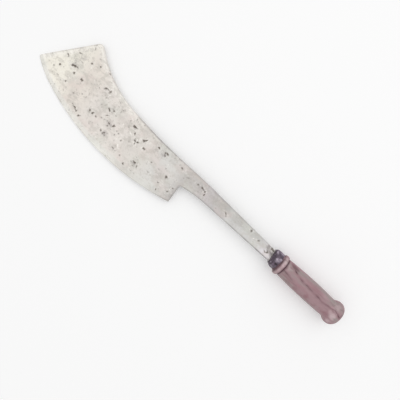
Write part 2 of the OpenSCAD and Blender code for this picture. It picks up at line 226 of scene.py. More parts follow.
# Dark stains, most of them beside the collar, the first of them painted shade along the neck's edge side;
# and pale places rubbed clean, in the same terms
UPPER_STAINS_AND_SHADE = (
    (27, 8.9, 30, 2.6, 0, 0.8), (28, -8, 6, 5, 0, 0.75), (24, -5.5, 9, 7, 0, 0.6),
    (17.5, -3, 9, 6, 15, 0.8), (24, -1, 4, 3, 130, 0.6), (450, -14, 9, 5, 15, 0.5),
    (341, 36, 9, 7, 0, 0.45), (345, 20, 10, 5, 0, 0.35), (247, -4, 7, 7, 0, 0.45), (275, 39, 8, 6, 0, 0.35),
    (166, -5, 9, 5, 10, 0.4), (386, -19, 6, 5, 0, 0.3), (311, -4.5, 9, 5, 0, 0.3),
)
UPPER_RUBS = (
    (13.2, -1.6, 2, 5, 0, 0.6), (17.5, 4.6, 11, 3.6, 0, 0.7), (28, -1.4, 4, 2.2, 150, 0.6),
    (34, -5.5, 4, 3, 0, 0.4), (452, -7, 8, 3, 20, 0.6), (468, -24, 9, 8, 30, 0.6),
    (478, -34, 8, 10, 0, 0.6), (300, 20, 5, 3, 60, 0.5),
)
# Greyish blooms around the worst of them: place, reach in mm, strength
UPPER_BLOOMS = (
    (451, -27, 13, 0.9), (448, -12, 10, 0.5), (345, 20, 9, 1.0), (341, 36, 8, 0.9), (355, 0, 10, 0.8),
    (404, 38, 12, 0.5), (422, 21, 8, 0.6), (441, 7, 10, 0.35), (300, 18, 18, 0.5), (321, -2, 10, 0.6),
    (294, 11, 8, 0.5), (262, -1, 7, 0.8), (247, -5, 10, 0.9), (250, -12, 10, 0.5), (273, 40, 9, 0.6),
    (280, 51, 12, 0.5), (316, 43, 9, 0.5), (220, 43, 9, 0.5), (203, 34, 10, 0.6), (213, -7, 10, 0.5),
    (194, -3, 14, 0.6), (232, 26, 14, 0.5), (165, -3, 15, 0.9), (142, -8, 16, 0.7), (124, -9, 16, 0.6),
    (112, -2, 10, 0.5), (90, -8, 16, 0.6), (64, -7, 8, 0.4), (26, -7, 6, 1.7), (21, -4.5, 6, 1.5),
    (16.5, -2.6, 4.5, 1.3), (380, -12, 12, 0.4), (405, -10, 12, 0.5), (343, -10, 8, 0.6), (375, 7, 12, 0.5),
    (196, 36, 7, 0.7), (199, 24, 7, 0.5), (401, 12, 7, 0.4), (470, -17, 7, 0.5), (455, -40, 7, 0.5),
    (335, -2, 12, 0.4), (230, -12, 14, 0.5), (262, -14, 14, 0.5), (290, -13, 12, 0.4),
)
# How strongly painted shade darkens the arrises of the back and of the edge's side, by the distance from the
# shoulder in mm
BACK_RIM = ((60, 110, 150, 290, 345), (0.4, 0.55, 1.0, 0.9, 0.35))
EDGE_RIM = ((60, 110, 195, 225), (1.0, 0.65, 0.65, 0.1))
# The dark line of painted shade lies just inside the outline, in mm, and a pale border fades inwards from
# there
RIM_INSET, RIM_WIDTH = 0.9, 1.5
BORDER_WIDTH = 16 * MM
# The ground bevel is told by how squarely it faces up or down, and by its place across the tool
BEVEL_FACING = (0.93, 0.9965)
BEVEL_ACROSS = 10 * MM
# Tones along the tool, from the collar to the pale nose: from and to in metres, colour
TONES = (
    (0.03, 0.05, (198, 197, 195)), (0.105, 0.118, (182, 180, 179)), (0.13, 0.145, (190, 185, 185)),
    (0.16, 0.175, (187, 183, 180)), (0.19, 0.225, (206, 204, 200)), (0.24, 0.28, (211, 206, 200)),
    (0.29, 0.33, (218, 212, 206)), (0.38, 0.41, (220, 213, 205)), (0.42, 0.46, (233, 229, 218)),
)
# Pits strewn at random: how many on the upper and on the lower cheek, how far along and across they go,
# and their least length and width, in mm
FAINT_PITS = 130
LOWER_PITS = 90
PITTED_TO = 480
PITTED_ACROSS = (-48, 58)
SHORTEST_PIT, NARROWEST_PIT = 2, 1.6
# How ragged the ends of marks are, and the noise's cells a metre
RAGGED_SHARE, RAGGED_CELLS = 0.75, 420
# Where marks fade out, in their own half widths from their middle
PIT_FADE, BLOOM_FADE, RUB_FADE, STAIN_FADE = 1.35, 1.15, 1.4, 1.5
# Each pit has a halo of bloom and a bright lip round it, which is bright steel and painted highlight on the
# rim
HALO_SHARE, HALO_FADE, HALO_REACH = 0.6, 1.2, 2.6
LIP_REACH, LIP_WIDTH = 2.1, 0.6
RUB_GAIN = 1.6


def paint(red, green, blue):
    """The linear colour of an sRGB one, given from 0 to 255."""
    shares = (part / 255 for part in (red, green, blue))
    return [s / 12.92 if s <= 0.04045 else ((s + 0.055) / 1.055) ** 2.4 for s in shares] + [1]


def blend(tree, mask, below, above):
    """Mixes two colours by a mask."""
    return add(tree, "Mix", {0: mask, 6: below, 7: above}, data_type="RGBA").outputs[2]


def between(tree, mask, low, high):
    """Mixes two values by a mask."""
    return add(tree, "Mix", {0: mask, 2: low, 3: high}).outputs[0]


def band(tree, value, low, high):
    """Maps low to high smoothly onto 0 to 1."""
    inputs = {"Value": value, "From Min": low, "From Max": high}
    return add(tree, "MapRange", inputs, interpolation_type="SMOOTHSTEP").outputs[0]


def reckon(tree, operation, first, second):
    """One sum on two values, kept between 0 and 1."""
    return add(tree, "Math", {0: first, 1: second}, operation=operation, use_clamp=True).outputs[0]


def stored(tree, name):
    """A mask kept on the mesh."""
    return add(tree, "Attribute", attribute_name=name).outputs["Fac"]


def tool_place(tree):
    """Object coordinates turned into the tool's own axes."""
    objects = add(tree, "TexCoord").outputs["Object"]
    place, turn, _ = tool.inverted().decompose()
    shift = {"Vector": objects, "Location": place, "Rotation": turn.to_euler()}
    return add(tree, "Mapping", shift).outputs[0]


# Blotches with soft, broken borders, which can be longer along the tool than across it
patches = bpy.data.node_groups.new("patches", "ShaderNodeTree")
patches.interface.new_socket("Place", in_out="INPUT", socket_type="NodeSocketVector")
for label in ("Along", "Across", "Start", "End", "Seed"):
    patches.interface.new_socket(label, in_out="INPUT", socket_type="NodeSocketFloat")
patches.interface.new_socket("Mask", in_out="OUTPUT", socket_type="NodeSocketFloat")
given = patches.nodes.new("NodeGroupInput").outputs
stretch = add(patches, "CombineXYZ", {"X": given["Along"], "Y": given["Across"], "Z": given["Across"]})
spread = add(patches, "VectorMath", {0: given["Place"], 1: stretch.outputs[0]}, operation="MULTIPLY")
clouding = {"Vector": spread.outputs[0], "W": given["Seed"], "Scale": 1.0, "Detail": 6.0,
            "Roughness": 0.6, "Distortion": 0.4}
cloud = add(patches, "TexNoise", clouding, noise_dimensions="4D")
borders = {"Value": cloud.outputs[0], "From Min": given["Start"], "From Max": given["End"]}
bordered = add(patches, "MapRange", borders, interpolation_type="SMOOTHSTEP")
patches.links.new(bordered.outputs[0], patches.nodes.new("NodeGroupOutput").inputs["Mask"])


def patch(tree, place, along, across, start, end, seed):
    """A blotchy mask: its cells a metre along and across, and the noise where it starts and is full."""
    made = add(tree, "Group", node_tree=patches)
    tree.links.new(place, made.inputs["Place"])
    for label, value in zip(("Along", "Across", "Start", "End", "Seed"), (along, across, start, end, seed)):
        made.inputs[label].default_value = value
    return made.outputs[0]


def finish(tree, colour, metal, rough, height, depth):
    """The surface itself, with its relief as bump."""
    bump = add(tree, "Bump", {"Height": height, "Strength": 0.5, "Distance": depth})
    surface = add(tree, "BsdfPrincipled", {"Base Color": colour, "Metallic": metal, "Roughness": rough,
                                           "Normal": bump.outputs[0]})
    add(tree, "OutputMaterial", {"Surface": surface.outputs[0]})


def forged_copy(node, softening, least_angle, keep=lambda middle: True):
    """The CAD node's mesh made whole, with its outer arrises worn round and marked."""
    bm = bmesh.new()
    bm.from_mesh(frame["nodes"][node].data)
    bmesh.ops.remove_doubles(bm, verts=bm.verts, dist=MERGE_REACH)
    bmesh.ops.dissolve_limit(bm, angle_limit=FLAT_TURN, verts=bm.verts, edges=bm.edges)
    rounded = bm.faces.layers.float.new("rounded")
    sharp = [e for e in bm.edges if e.is_manifold and e.calc_face_angle_signed() > radians(least_angle)
             and keep(tool.inverted() @ ((e.verts[0].co + e.verts[1].co) / 2))]
    made = bmesh.ops.bevel(bm, geom=sharp, offset=softening, segments=2, profile=0.5, affect="EDGES",
                           material=-1, clamp_overlap=True)
    for face in made["faces"]:
        face[rounded] = 1
    return bm


def refine(bm, longest, cuts, rounds):
    """Cuts the faces small enough to carry dents and masks."""
    for _ in range(rounds):
        bmesh.ops.triangulate(bm, faces=[f for f in bm.faces if len(f.verts) > 4])
        long_edges = [e for e in bm.edges if e.calc_length() > longest]
        bmesh.ops.subdivide_edges(bm, edges=long_edges, cuts=cuts, use_grid_fill=True)
    bmesh.ops.triangulate(bm, faces=[f for f in bm.faces if len(f.verts) > 4])


def arris_mask(bm):
    """Keeps the worn arrises, which lie wholly within the rounding, as the mask "arris"."""
    rounded = bm.faces.layers.float["rounded"]
    arris = bm.verts.layers.float.new("arris")
    for vert in bm.verts:
        vert[arris] = min(face[rounded] for face in vert.link_faces)


def piece(name, bm, material):
    """Makes a finished object from a bmesh, riding on the tool and standing for its CAD node."""
    mesh = bpy.data.meshes.new(name)
    bm.to_mesh(mesh)
    bm.free()
    mesh.polygons.foreach_set("use_smooth", [True] * len(mesh.polygons))
    mesh.set_sharp_from_angle(angle=CREASE_TURN)
    mesh.materials.append(material)
    made = bpy.data.objects.new(name, mesh)
    bpy.context.scene.collection.objects.link(made)
    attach(made, "root")
    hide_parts(name)
    return mesh


def mesh_array(collection, name):
    """The positions or normals of a mesh's vertices."""
    values = np.zeros(len(collection) * 3)
    collection.foreach_get(name, values)
    return values.reshape(-1, 3)


def store_mask(mesh, name, values):
    """Keeps a mask on the mesh's vertices for its material."""
    mesh.attributes.new(name, "FLOAT", "POINT").data.foreach_set("value", values.astype(np.float32))


def carried(points, matrix):
    """Points carried over by a matrix."""
    return (np.c_[points, np.ones(len(points))] @ np.array(matrix).T)[:, :3]


def settle(mesh, points):
    """Puts the worn points back on the mesh, none of them outside the CAD model's box."""
    mesh.vertices.foreach_set("co", np.clip(points, *np.array(cad_box)).ravel())
    mesh.update()


def cheek_marks(place, side, pits, blooms, rubs, stains_and_shade):
    """The strength of pits, blooms, rubbed places and painted highlights, and stains and painted shade on one
    cheek, in the tool's own axes.
    """
    ragged = 1 + RAGGED_SHARE * np.array([noise.noise(Vector(p) * RAGGED_CELLS) for p in place])
    there = (place[:, 2] * side > 0) & (place[:, 0] > NECK_FROM)
    pitted, bloomed, bright, stained_and_shaded = np.zeros((4, len(place)))

    def spread(along, across, length, width, turn):
        """How far each point lies from a mark's middle, in half lengths and half widths."""
        step = place[:, :2] / MM - (along, across)
        run = (step[:, 0] * cos(radians(turn)) + step[:, 1] * sin(radians(turn))) / (length / 2)
        rise = (step[:, 1] * cos(radians(turn)) - step[:, 0] * sin(radians(turn))) / (width / 2)
        return np.hypot(run, rise) * ragged

    for *mark, strength in pits:
        reach = spread(*mark)
        pitted = np.maximum(pitted, strength * np.clip(PIT_FADE - reach, 0, 1))
        halo = HALO_SHARE * strength * np.clip(HALO_FADE - reach / HALO_REACH, 0, 1)
        bloomed = np.maximum(bloomed, halo)
        # The lip is bright steel and painted highlight on the pit's rim
        bright = np.maximum(bright, strength * np.clip(1 - abs(reach - LIP_REACH) / LIP_WIDTH, 0, 1))
    for *mark, strength in rubs:
        bright = np.maximum(bright, RUB_GAIN * strength * np.clip(RUB_FADE - spread(*mark), 0, 1))
    # Stains, and the painted shade along the neck's edge side
    for *mark, strength in stains_and_shade:
        stained_and_shaded = np.maximum(stained_and_shaded, strength * np.clip(STAIN_FADE - spread(*mark), 0, 1))
    for along, across, reach, strength in blooms:
        round_bloom = spread(along, across, 2 * reach, 2 * reach, 0)
        bloomed = np.maximum(bloomed, strength * np.clip(BLOOM_FADE - round_bloom, 0, 1))
    return np.array((pitted, bloomed, bright, stained_and_shaded)) * there


bm = forged_copy("blade", ARRIS_WEAR, least_angle=40, keep=lambda middle: middle.x > NECK_FROM)
reach = round(frame["nodes"]["blade"].dimensions.length / CELL)
for axis in (lengthwise, edgeward):
    for step in range(-reach, reach):
        bmesh.ops.bisect_plane(bm, geom=bm.verts[:] + bm.edges[:] + bm.faces[:], plane_no=axis,
                               plane_co=tool.translation + axis * (step + 0.5) * CELL, dist=MERGE_REACH / 2)
refine(bm, longest=LONGEST_EDGE, cuts=CELL_CUTS, rounds=1)
arris_mask(bm)
steel, tree = new_material("scoured steel")
mesh = piece("blade", bm, steel)
points, normals = mesh_array(mesh.vertices, "co"), mesh_array(mesh.vertex_normals, "vector")
place = carried(points, tool.inverted())
facing = abs(normals @ np.array(upward))
beyond = np.clip((place[:, 0] - NECK_FROM) / RUN_IN, 0, 1)

scatter = random.Random(5)


def scattered(count, start, longest, faintest, strongest):
    """Pits strewn over a cheek: their number, where they start, their length in mm, their strength."""
    return [(scatter.uniform(start, PITTED_TO), scatter.uniform(*PITTED_ACROSS),
             scatter.uniform(SHORTEST_PIT, longest), scatter.uniform(NARROWEST_PIT, longest / 2),
             scatter.uniform(0, 180), scatter.uniform(faintest, strongest)) for _ in range(count)]


lower_pits = scattered(LOWER_PITS, start=30, longest=7, faintest=0.4, strongest=1)
lower_blooms = [(along, across, 3 * size, 0.7) for along, across, size, *_ in lower_pits[::3]]
upper_pits = list(UPPER_PITS) + scattered(FAINT_PITS, start=190, longest=5, faintest=0.3, strongest=0.5)
upper, lower = (upper_pits, UPPER_BLOOMS, UPPER_RUBS, UPPER_STAINS_AND_SHADE), (lower_pits, lower_blooms, (), ())
pit, bloom, bright, stain_and_shade = cheek_marks(place, 1, *upper) + cheek_marks(place, -1, *lower)
# The narrow faces of the back, the heel and the nose have no pits
pit *= np.clip((facing - 0.6) / 0.3, 0, 1)
arris = np.zeros(len(points), dtype=np.float32)
mesh.attributes["arris"].data.foreach_get("value", arris)
# How far each point lies inside the outline, seen from above
outline = np.flatnonzero((arris > 0.9) & (place[:, 0] > NECK_FROM))
nearest = kdtree.KDTree(len(outline))
for index in outline:
    nearest.insert((place[index, 0], place[index, 1], 0), index)
nearest.balance()
inset = np.array([nearest.find((x, y, 0))[2] for x, y, _ in place])
x = place[:, 0] / MM
# Painted shade along the outline, stronger on some stretches of the back and of the edge's side
rim = np.where(place[:, 1] < 0, np.interp(x, *BACK_RIM), np.interp(x, *EDGE_RIM))
masks = {"pit": pit, "bloom": bloom, "bright": bright, "stain_and_shade": stain_and_shade,
         "rim": rim * np.clip(1 - abs(inset / MM - RIM_INSET) / RIM_WIDTH, 0, 1),
         "ground": (facing > BEVEL_FACING[0]) & (facing < BEVEL_FACING[1]) & (place[:, 1] > BEVEL_ACROSS),
         "border": np.clip(1 - inset / BORDER_WIDTH, 0, 1)}
for name, values in masks.items():
    store_mask(mesh, name, values)
# noise_vector gives other values in each run unless it is seeded
noise.seed_set(8)
wobble = np.array([noise.noise_vector(Vector(p) * WOBBLE_CELLS) for p in place])
wobble *= OUTLINE_WOBBLE * beyond[:, None]
dents = np.array([noise.noise(Vector(p) * HAMMER_CELLS + HAMMER_SHIFT) for p in place])
dents *= HAMMERING * beyond
settle(mesh, points + wobble + normals * (dents - PIT_DEPTH * pit)[:, None])

place = tool_place(tree)
along, across, _ = add(tree, "SeparateXYZ", {0: place}).outputs
colour = paint(212, 208, 211)
for low, high, tone in TONES:
    colour = blend(tree, band(tree, along, low, high), colour, paint(*tone))
pale = reckon(tree, "MULTIPLY", band(tree, stored(tree, "border"), 0.2, 0.9), band(tree, along, 0.28, 0.34))
edge_side = between(tree, band(tree, across, -0.01, 0.01), 0.6, 1.0)
colour = blend(tree, reckon(tree, "MULTIPLY", pale, edge_side), colour, paint(239, 236, 230))
# Painted shade on the back half of the neck
shaded = reckon(tree, "MULTIPLY", band(tree, across, 0.002, -0.003), band(tree, along, 0.14, 0.11))
colour = blend(tree, reckon(tree, "MULTIPLY", shaded, 0.45), colour, paint(172, 171, 166))
pinkness = between(tree, band(tree, along, 0.43, 0.46), 0.32, 0.08)
pink = reckon(tree, "MULTIPLY", patch(tree, place, 20, 26, 0.48, 0.6, 0), pinkness)
colour = blend(tree, pink, colour, paint(208, 192, 187))
green = reckon(tree, "MULTIPLY", patch(tree, place, 24, 30, 0.5, 0.64, 3), 0.4)
colour = blend(tree, green, colour, paint(200, 201, 192))
smudges = reckon(tree, "MULTIPLY", patch(tree, place, 80, 130, 0.5, 0.6, 6), 0.4)
colour = blend(tree, smudges, colour, paint(183, 178, 170))
ground = reckon(tree, "MULTIPLY", stored(tree, "ground"), band(tree, along, 0.18, 0.25))
colour = blend(tree, reckon(tree, "MULTIPLY", ground, 0.5), colour, paint(216, 215, 209))
flecked = patch(tree, place, 40, 45, 0.4, 0.62, 12)
flecks = reckon(tree, "MULTIPLY", patch(tree, place, 330, 380, 0.54, 0.64, 9), flecked)
colour = blend(tree, reckon(tree, "MULTIPLY", flecks, 0.55), colour, paint(165, 160, 151))
mottle = patch(tree, place, 240, 260, 0.36, 0.64, 15)
bloom = reckon(tree, "MULTIPLY", stored(tree, "bloom"), between(tree, mottle, 0.25, 1.0))
colour = blend(tree, reckon(tree, "MULTIPLY", bloom, 0.85), colour, paint(161, 156, 151))
# Scoured places, rubbed places and the pits' lips, the lips partly painted highlight
scoured_and_highlit = reckon(tree, "MAXIMUM", patch(tree, place, 120, 170, 0.6, 0.67, 17), stored(tree, "bright"))
scouring = between(tree, patch(tree, place, 90, 110, 0.45, 0.6, 18), 0.1, 0.6)
scoured_and_highlit = reckon(tree, "MULTIPLY", scoured_and_highlit, scouring)
colour = blend(tree, scoured_and_highlit, colour, paint(244, 241, 235))
# Dark stains, and painted shade along the neck's edge side
stain_and_shade = reckon(tree, "MULTIPLY", stored(tree, "stain_and_shade"), between(tree, mottle, 0.5, 1.1))
colour = blend(tree, reckon(tree, "MULTIPLY", stain_and_shade, 0.8), colour, paint(126, 118, 122))
rust = band(tree, reckon(tree, "MULTIPLY", stored(tree, "pit"), between(tree, mottle, 0.6, 1.3)), 0.15, 0.65)
colour = blend(tree, reckon(tree, "MULTIPLY", rust, 0.9), colour, paint(114, 106, 96))
# Painted shade: a dark line just inside the outline, broken up by a blotchy mask
rim_shade_breakup = between(tree, patch(tree, place, 50, 50, 0.4, 0.6, 19), 0.5, 0.9)
blackened = reckon(tree, "MULTIPLY", stored(tree, "rim"), rim_shade_breakup)
colour = blend(tree, blackened, colour, paint(122, 118, 116))
# The tang and its peened head keep their dark scale
scale = reckon(tree, "MULTIPLY", band(tree, along, NECK_FROM, 0.008), between(tree, mottle, 0.85, 1.0))
colour = blend(tree, scale, colour, paint(96, 82, 77))
rough = between(tree, patch(tree, place, 35, 70, 0.3, 0.7, 20), 0.4, 0.54)
scratches = patch(tree, place, 90, 1500, 0.35, 0.65, 21)
grinding = patch(tree, place, 1400, 60, 0.35, 0.65, 24)
lines = between(tree, stored(tree, "ground"), scratches, grinding)
lines = add(tree, "Math", {0: lines, 1: SCRATCH_SHARE}, operation="MULTIPLY").outputs[0]
relief = add(tree, "Math", {0: lines, 1: mottle}, operation="ADD").outputs[0]
rough = between(tree, rust, rough, 0.85)
finish(tree, colour, metal=between(tree, rust, 0.75, 0.1), rough=rough, height=relief, depth=0.08 * MM)


# Collar: a hexagonal iron ring forged over the handle's spigot, its front chamfered askew and punched
# for the neck. It is dark and purplish and rubbed bright along its ridges, with painted highlights on its
# lit facets and painted shade at its mouth.
COLLAR_WEAR = 0.6 * MM
COLLAR_CELL = 1.2 * MM
COLLAR_DENTS, COLLAR_DENT_CELLS = 0.12 * MM, 170
# How ragged the marks on a round piece are, and the noise's cells a metre along it and across it
ROUND_RAGGED, RAGGED_ALONG, RAGGED_ACROSS = 0.8, 130, 260
# The rubbed places, with painted highlights on the lit facets, and the grimy places, with painted shade at
# the front's mouth and chamfer: distance from the shoulder in mm, degrees round from the top, length and
# width in mm, strength
COLLAR_RUBS_AND_HIGHLIGHTS = (
    (4.4, -9, 8, 6.5, 0.75), (7.6, -12, 3, 4.5, 1.0), (2.2, -25, 4, 3, 0.9), (12, -60, 3, 8, 1.0),
    (4, -73, 9, 6, 0.6), (7, 54, 3, 7, 0.45), (11.4, 36, 2, 3, 0.5), (4, 70, 8, 5, 0.3),
)
COLLAR_GRIME_AND_SHADE = (
    (9.5, 32, 1.8, 22, 0.9), (9.8, -10, 1.4, 5, 0.8), (12.5, 4, 4, 24, 0.6), (15, -48, 2.5, 9, 0.9),
    (13.5, 45, 3, 8, 1.0), (2.6, 16.5, 4, 3.4, 1.2), (6.3, 7, 2, 2, 0.5), (3, 41, 8, 1.8, 0.7),
)


def dark_iron(name, dull, warm, bright, wear):
    """Old dark iron: mottled, black where it is grimy and in painted shade, bright where it is rubbed, on its
    arrises and in painted highlights.
    """
    material, tree = new_material(name)
    place = tool_place(tree)
    mottle = patch(tree, place, 230, 260, 0.38, 0.62, 31)
    colour = blend(tree, mottle, paint(*dull), paint(*warm))
    # Grime and painted shade go nearly black
    colour = blend(tree, reckon(tree, "MULTIPLY", stored(tree, "grime"), 0.8), colour, paint(44, 34, 42))
    # Worn arrises, rubbed places and painted highlights go bright
    pale_marks = reckon(tree, "MULTIPLY", stored(tree, "arris"), wear)
    rubbed_and_highlit = reckon(tree, "MAXIMUM", pale_marks, stored(tree, "rubbed_and_highlit"))
    broken = between(tree, patch(tree, place, 220, 320, 0.42, 0.58, 33), 0.3, 1.0)
    colour = blend(tree, reckon(tree, "MULTIPLY", rubbed_and_highlit, broken), colour, paint(*bright))
    grain = patch(tree, place, 700, 900, 0.3, 0.7, 36)
    finish(tree, colour, metal=0.35, rough=between(tree, mottle, 0.4, 0.6), height=grain, depth=0.12 * MM)
    return material


def streaked(place, along, across):
    """Noise at each point, with its cells a metre along the tool and across it."""
    return np.array([noise.noise(Vector((x * along, y * across, z * across))) for x, y, z in place])


def round_marks(place, marks):
    """The strength of ragged marks on a round piece, in the tool's own axes."""
    x, radius = place[:, 0] / MM, np.hypot(place[:, 1], place[:, 2]) / MM
    around = np.degrees(np.arctan2(place[:, 1], place[:, 2]))
    ragged = 1 + ROUND_RAGGED * streaked(place, RAGGED_ALONG, RAGGED_ACROSS)
    spread = np.zeros(len(place))
    for along, degrees, length, width, strength in marks:
        off = abs((around - degrees + 180) % 360 - 180) * radians(1) * radius
        reach = np.hypot((x - along) / (length / 2), off / (width / 2)) * ragged
        spread = np.maximum(spread, strength * np.clip(STAIN_FADE - reach, 0, 1))
    return spread


bm = forged_copy("collar", COLLAR_WEAR, least_angle=22)
refine(bm, longest=COLLAR_CELL, cuts=1, rounds=5)
arris_mask(bm)
for vert in bm.verts:
    vert.co += vert.normal * noise.noise(vert.co * COLLAR_DENT_CELLS) * COLLAR_DENTS
purplish_iron = dark_iron("purplish iron", dull=(78, 65, 78), warm=(108, 94, 108), bright=(182, 170, 183),
                          wear=0.75)
mesh = piece("collar", bm, purplish_iron)
place = carried(mesh_array(mesh.vertices, "co"), tool.inverted())
# Rubs and painted highlights on the lit facets; grime and painted shade at the mouth and chamfer
store_mask(mesh, "rubbed_and_highlit", round_marks(place, COLLAR_RUBS_AND_HIGHLIGHTS))
store_mask(mesh, "grime", round_marks(place, COLLAR_GRIME_AND_SHADE))

# Collar nail: a small blackened nail sunk just below the flat, which pins the collar to the spigot.
# Its head has been hammered a little round.
NAIL_WEAR = 0.2 * MM
bm = forged_copy("collar_nail", NAIL_WEAR, least_angle=40)
arris_mask(bm)
blackened_iron = dark_iron("blackened iron", dull=(40, 33, 38), warm=(60, 50, 56), bright=(104, 96, 100),
                           wear=0.4)
piece("collar_nail", bm, blackened_iron)

# Handle: turned wood with a spigot, a bead, a barrel grip and a round bulb, dry and weathered to a mauve
# brown. Drying cracks run along it, and the tang passes through its bore.

# Sizes in mm: D across, L long, X from the shoulder, R in radius
SPIGOT_D, SPIGOT_L, BORE_D = 23, 9.5, 13.6
BEAD_X, BEAD_D, BEAD_L, BEAD_ROUND, GROOVE_W = 1.5, 35.5, 8.2, 3.5, 1
GRIP_D, GRIP_X, GRIP_R, HOLLOW_R = 33.8, GRIP_FROM_SHOULDER / MM, 770, 8
BULB_D, RIM_R, BULB_LAND = 39.8, 11, 1
HANDLE_L, CROWN_L = 127.5, 12.6
WASHER_D, WASHER_T, WASHER_GAP = 15, 1.5, 0.15
# Faces round the handle, and the length of one along an arc in mm
COLUMNS = 320
RING_STEP = 0.8
# How far the wood has swollen and how deep its flutes are, in mm
SWELLING = 0.3
FLUTING = 0.05
# How far dirt reaches beside a crack, and painted shade from the groove behind the bead and from the
# collar's mouth, in mm
CRACK_DIRT, GROOVE_SHADE_REACH, MOUTH_SHADE_REACH = 3.6, 2, 2.4
# How strong the dirt is beside a crack, and the painted shade at the mouth by the degrees round from the top
CRACK_DIRTY = 0.9
MOUTH_SHADE_STRENGTH = ((-50, -25, 60, 80), (0.4, 1.0, 1.0, 0.6))
# How far the bead's crest is worn pale and carries a painted highlight, and from which radius outwards, in
# mm, and how strongly
CREST_REACH, CREST_R, CREST_PALE = 2.8, 16.5, 0.6
# How far a crack wavers, in degrees and cells a mm, and how ragged its sides are
WAVER, WAVER_CELLS = 3.2, 0.11
CRACK_RAGGED = 0.9
# The cracks wander along the grain: distance from the shoulder in mm, degrees round from the top, strength
MAIN_CRACK = (
    (-22, -40, 0.4), (-27, -31, 0.9), (-32, -24, 0.6), (-40, -16, 0.5), (-47, -12, 0.6), (-53, -14, 0.8),
    (-60, -9.5, 0.5), (-66, -8.5, 0.45), (-75, -6, 0.8), (-84, -4, 0.5), (-91, -5, 0.6), (-98, -8, 0.45),
    (-104, -12, 0.45), (-109, -16, 1.0), (-112, -10, 0.9), (-117, -4.5, 1.0), (-121, -2, 0.8),
)
SIDE_CRACK = (
    (-11, 8, 0.8), (-14, 10, 0.9), (-20, 15, 0.6), (-27, 19, 0.45), (-34, 25, 0.3), (-42, 28, 0.2),
)
UNDER_CRACK = ((-22, 170, 0.3), (-45, 176, 0.8), (-70, 171, 0.6), (-95, 178, 0.2))
# Each crack with its half width and its depth in mm
CRACKS = ((MAIN_CRACK, 1.4, 1.1), (SIDE_CRACK, 1.8, 0.5), (UNDER_CRACK, 1.1, 0.8))
# Stains, with painted shade and painted highlights among them: distance from the shoulder in mm, degrees
# round from the top, length and width in mm, strength
# Dark stains; the three near -10 mm are painted shade in the groove behind the bead
DARK_STAINS_AND_SHADE = (
    (-24, -50, 14, 9, 1.0), (-27, -33, 8, 5, 0.8), (-53, -14, 7, 5, 0.5), (-76, -8, 8, 5, 0.6),
    (-17, 12, 10, 4, 0.6), (-100, -8, 10, 3, 0.4), (-11, -13, 4, 7, 0.9), (-10.5, 10, 4.5, 9, 1.0),
    (-9.6, -44, 4.5, 7, 0.7), (-119.5, -3, 4, 5, 1.0), (-121, -14, 3, 9, 0.8),
)
RED_STAINS = (
    (-28, 50, 12, 8, 0.5), (-20, 28, 16, 5, 0.4), (-44, 48, 8, 8, 0.6), (-63, 38, 9, 7, 0.8),
    (-69, -28, 24, 9, 0.45), (-102, 35, 14, 9, 0.7), (-81, 45, 6, 8, 0.5), (-20, -52, 12, 8, 0.6),
)
# Pale wear, with painted highlights on the bead's crest and on the bulb
PALE_STAINS_AND_HIGHLIGHTS = (
    (-5, -16, 5, 12, 1.5), (-5, 24, 4, 9, 0.9), (-5, -48, 5, 7, 0.8), (-16, -20, 9, 11, 0.5),
    (-86, -38, 16, 7, 0.25), (-109, -33, 9, 12, 0.7), (-110, 14, 10, 10, 1.2), (-112, 48, 7, 9, 0.8),
)


def arc(centre, radius, start, end):
    """Points about a ring step apart on an arc, in mm and degrees."""
    steps = max(6, round(abs(radians(end - start)) * radius / RING_STEP))
    turns = (radians(start + (end - start) * step / steps) for step in range(steps + 1))
    return [(centre[0] + radius * cos(t), centre[1] + radius * sin(t)) for t in turns]


def bearing(vector):
    """The direction of a flat vector, in degrees."""
    return np.degrees(np.arctan2(vector[1], vector[0]))


land_x = CROWN_L - HANDLE_L
rim_c = BULB_D / 2 - RIM_R
crown_r = (CROWN_L**2 + rim_c**2 - RIM_R**2) / 2 / (CROWN_L - RIM_R)
crown_c = crown_r - HANDLE_L
bore, seat, spigot = BORE_D / 2, WASHER_D / 2 + WASHER_GAP, SPIGOT_D / 2
seat_x = crown_c - (crown_r**2 - WASHER_D**2 / 4) ** 0.5 + WASHER_T
bead_in, bead_end = BEAD_D / 2 - BEAD_ROUND, BEAD_X + BEAD_L
grip_c, bulb_c = np.array((GRIP_D / 2 - GRIP_R, -GRIP_X)), np.array((rim_c, land_x + BULB_LAND))
span = bulb_c - grip_c
from_grip, from_bulb, apart = GRIP_R + HOLLOW_R, RIM_R + HOLLOW_R, float(np.hypot(*span))
bend = np.arccos((from_grip**2 + apart**2 - from_bulb**2) / 2 / from_grip / apart)
hollow_a = bearing(span) + np.degrees(bend)
crown_a, seat_a = bearing((rim_c, land_x - crown_c)), bearing((seat, -((crown_r**2 - seat**2) ** 0.5)))
hollow_c = grip_c + from_grip * np.array((cos(radians(hollow_a)), sin(radians(hollow_a))))
# The profile as radius and place: bore, spigot and shoulder, then bead, grip, hollow, bulb and crown
profile = [(bore, seat_x), (bore, SPIGOT_L), (spigot, SPIGOT_L), (spigot, 0), (bead_in, 0)]
profile += arc((bead_in, -BEAD_X - BEAD_ROUND), BEAD_ROUND, 90, 0)
profile += arc((bead_in, BEAD_ROUND - bead_end), BEAD_ROUND, 0, -90)
profile += arc(grip_c, GRIP_R, np.degrees(np.arcsin((GRIP_X - bead_end - GROOVE_W) / GRIP_R)), hollow_a)
profile += arc(hollow_c, HOLLOW_R, hollow_a - 180, bearing(bulb_c - hollow_c))
profile += arc(bulb_c, RIM_R, bearing(hollow_c - bulb_c), 0)
profile += arc((rim_c, land_x), RIM_R, 0, crown_a)
profile += arc((0, crown_c), crown_r, crown_a, seat_a)
profile += [(seat, seat_x)]

